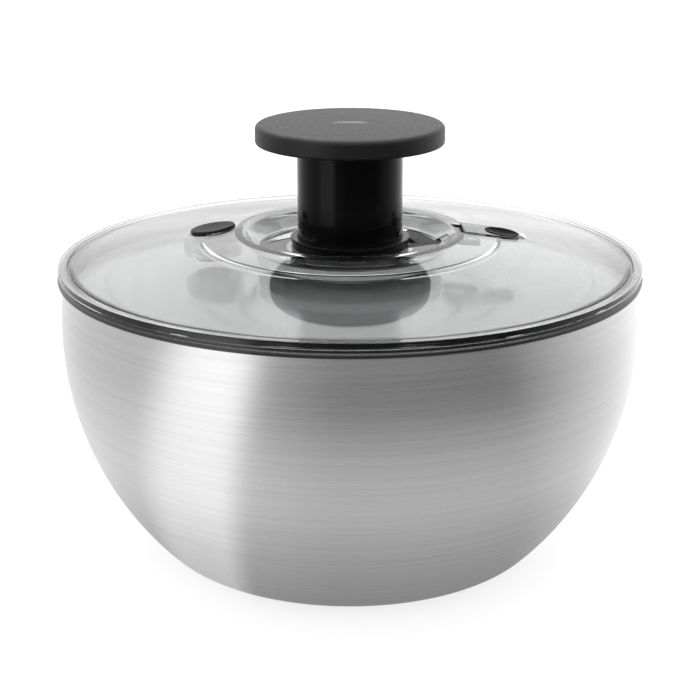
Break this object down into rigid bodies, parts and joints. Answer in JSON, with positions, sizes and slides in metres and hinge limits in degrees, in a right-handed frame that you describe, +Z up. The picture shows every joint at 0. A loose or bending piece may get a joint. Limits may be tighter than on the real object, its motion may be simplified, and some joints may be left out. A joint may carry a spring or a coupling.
{
  "type": "salad spinner",
  "caption": "Hand-pumped salad spinner: steel bowl, slotted basket, clear domed lid with a pump knob in a central well, brake button and sliding knob lock.",
  "frame": {"origin": "centre of the foot ring's underside, on the spin axis", "axes": "+Z up along the spin axis, -Y towards the front, +X towards the knob lock"},
  "size_m": [0.27, 0.27, 0.204],
  "materials": {
    "steel": "fine circumferential brushing",
    "clear_lid": "clear gloss",
    "clear_inner": "clear",
    "basket_clear": "frosted clear",
    "slider_grey": "smoky clear",
    "seal_black": "satin",
    "foot_black": "matte",
    "gloss_black": "gloss",
    "soft_black": "soft-touch matte",
    "inner_white": "moulded",
    "inner_black": "moulded",
    "spring_steel": "bright",
    "brake_rubber": "matte"
  },
  "bodies": {
    "bowl": {"bowl": "steel", "foot_ring": "foot_black"},
    "basket": {"basket": "basket_clear"},
    "lid": {"lid_shell": "clear_lid", "rim_seal": "seal_black", "guide_collar": "gloss_black", "pump_housing": "clear_inner", "spindle_bush": "inner_white", "hub_snap_ring": "spring_steel", "return_spring": "spring_steel", "brake_spring": "spring_steel"},
    "knob": {"knob_pad": "soft_black", "knob_core": "inner_black", "knob_badge": "gloss_black", "knob_screws": "spring_steel", "plunger_tube": "gloss_black", "helix_nut": "inner_white", "nut_ring": "spring_steel"},
    "spindle": {"drive_spindle": "spring_steel", "clutch_driver": "inner_white", "driver_clip": "spring_steel"},
    "drive_disc": {"drive_disc": "clear_inner", "drive_ring": "clear_inner", "drive_cup": "clear_inner", "clutch_barrel": "clear_inner", "clutch_ring": "inner_white", "hub_cap": "clear_inner"},
    "brake": {"brake_button": "brake_rubber", "brake_stem": "inner_white", "brake_pad": "brake_rubber"},
    "lock": {"lock_slider": "slider_grey", "lock_finger_pad": "gloss_black", "lock_bolt": "inner_black", "lock_clip": "inner_black"}
  },
  "joints": [
    {"name": "basket_spin", "type": "hinge", "parent": "bowl", "child": "basket", "pos_m": [0, 0, 0.008], "axis": [0, 0, 1], "continuous": true},
    {"name": "lid_lift", "type": "slide", "parent": "bowl", "child": "lid", "axis": [0, 0, 1], "range_m": [0, 0.16]},
    {"name": "knob_press", "type": "slide", "parent": "lid", "child": "knob", "axis": [0, 0, -1], "range_m": [0, 0.0455], "stiffness_N_per_m": 150, "springref_m": -0.03, "deforming": ["return_spring"]},
    {"name": "spindle_spin", "type": "hinge", "parent": "lid", "child": "spindle", "pos_m": [0, 0, 0.0858], "axis": [0, 0, 1], "range_deg": [0, 456]},
    {"name": "disc_spin", "type": "hinge", "parent": "lid", "child": "drive_disc", "pos_m": [0, 0, 0.08], "axis": [0, 0, 1], "continuous": true},
    {"name": "brake_press", "type": "slide", "parent": "lid", "child": "brake", "axis": [0, 0, -1], "range_m": [0, 0.003], "stiffness_N_per_m": 600, "springref_m": -0.002, "deforming": ["brake_spring"]},
    {"name": "lock_slide", "type": "slide", "parent": "lid", "child": "lock", "axis": [-0.9855, -0.0689, 0.1552], "range_m": [0, 0.003]}
  ],
  "couplings": [
    {"joint": "spindle_spin", "follows": "knob_press", "rad_per_m": 174.53},
    {"joint": "disc_spin", "follows": "basket_spin", "ratio": 1}
  ]
}
